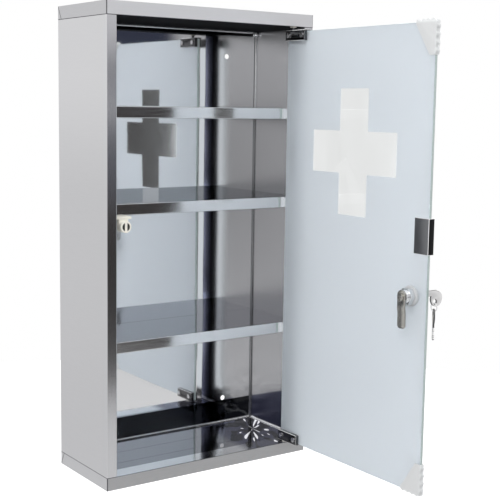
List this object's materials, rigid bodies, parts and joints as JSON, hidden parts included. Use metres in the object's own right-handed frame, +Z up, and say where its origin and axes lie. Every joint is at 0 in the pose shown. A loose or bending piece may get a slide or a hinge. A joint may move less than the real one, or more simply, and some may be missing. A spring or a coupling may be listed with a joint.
{
  "type": "medicine cabinet",
  "caption": "Wall-hung stainless steel medicine cabinet with shelves and a lockable frosted glass door with a clear cross, on pivot hinges.",
  "frame": {"origin": "centre of the cabinet's back face, the face on the wall", "axes": "+X to the right seen from the front, +Y into the wall, +Z up"},
  "size_m": [0.3322, 0.3916, 0.6],
  "materials": {
    "steel_satin": "satin brushed stainless sheet",
    "steel_bright": "mirror polished stainless sheet",
    "steel_dull": "dark unpolished stainless sheet",
    "glass_clear": "clear float glass with a green edge",
    "glass_frosted": "frosted skin, clear over a cross",
    "chrome_hinge": "dark polished plate",
    "chrome_screw": "plated slotted screw",
    "chrome_lock": "polished plate",
    "zinc_cam": "dull zinc plate",
    "nickel_key": "nickel plate",
    "strike_steel": "dark polished steel",
    "white_plastic": "moulded nylon",
    "pole_steel": "dark oxidised steel",
    "soft_guard": "milky soft plastic",
    "washer_plastic": "pale translucent plastic"
  },
  "bodies": {
    "cabinet": {"side_left": "steel_satin", "side_right": "steel_satin", "top_cap": "steel_satin", "base_cap": "steel_satin", "ceiling_panel": "steel_dull", "back_panel": "steel_bright", "floor_panel": "steel_bright", "shelf_upper": "steel_bright", "shelf_middle": "steel_bright", "shelf_lower": "steel_bright", "catch_body": "white_plastic", "pivot_bush_top": "white_plastic", "pivot_bush_bottom": "white_plastic", "catch_pole_left": "pole_steel", "catch_pole_right": "pole_steel"},
    "door": {"door_glass": "glass_clear", "frost_layer": "glass_frosted", "hinge_clamp_top": "chrome_hinge", "hinge_clamp_bottom": "chrome_hinge", "pivot_pin_top": "chrome_hinge", "pivot_pin_bottom": "chrome_hinge", "clamp_screw_top_inner": "chrome_screw", "clamp_screw_top_outer": "chrome_screw", "clamp_screw_bottom_inner": "chrome_screw", "clamp_screw_bottom_outer": "chrome_screw", "corner_guard_top": "soft_guard", "corner_guard_bottom": "soft_guard", "strike_clip": "strike_steel", "lock_barrel": "chrome_lock", "lock_washer": "washer_plastic", "lock_nut": "chrome_lock"},
    "lock": {"lock_plug": "chrome_lock", "lock_cam": "zinc_cam", "cam_screw": "zinc_cam", "key_in_lock": "nickel_key"},
    "spare": {"key_ring": "nickel_key", "spare_key": "nickel_key"}
  },
  "joints": [
    {"name": "door_hinge", "type": "hinge", "parent": "cabinet", "child": "door", "pos_m": [0.1257, -0.125, 0], "axis": [0, 0, 1], "range_deg": [-90, 20]},
    {"name": "lock_turn", "type": "hinge", "parent": "door", "child": "lock", "pos_m": [0.1257, -0.3645, -0.042], "axis": [-1, 0, 0], "range_deg": [0, 90]},
    {"name": "ring_swing", "type": "hinge", "parent": "lock", "child": "spare", "pos_m": [0.165, -0.3645, -0.05695], "axis": [-1, 0, 0], "range_deg": [-90, 90]}
  ]
}
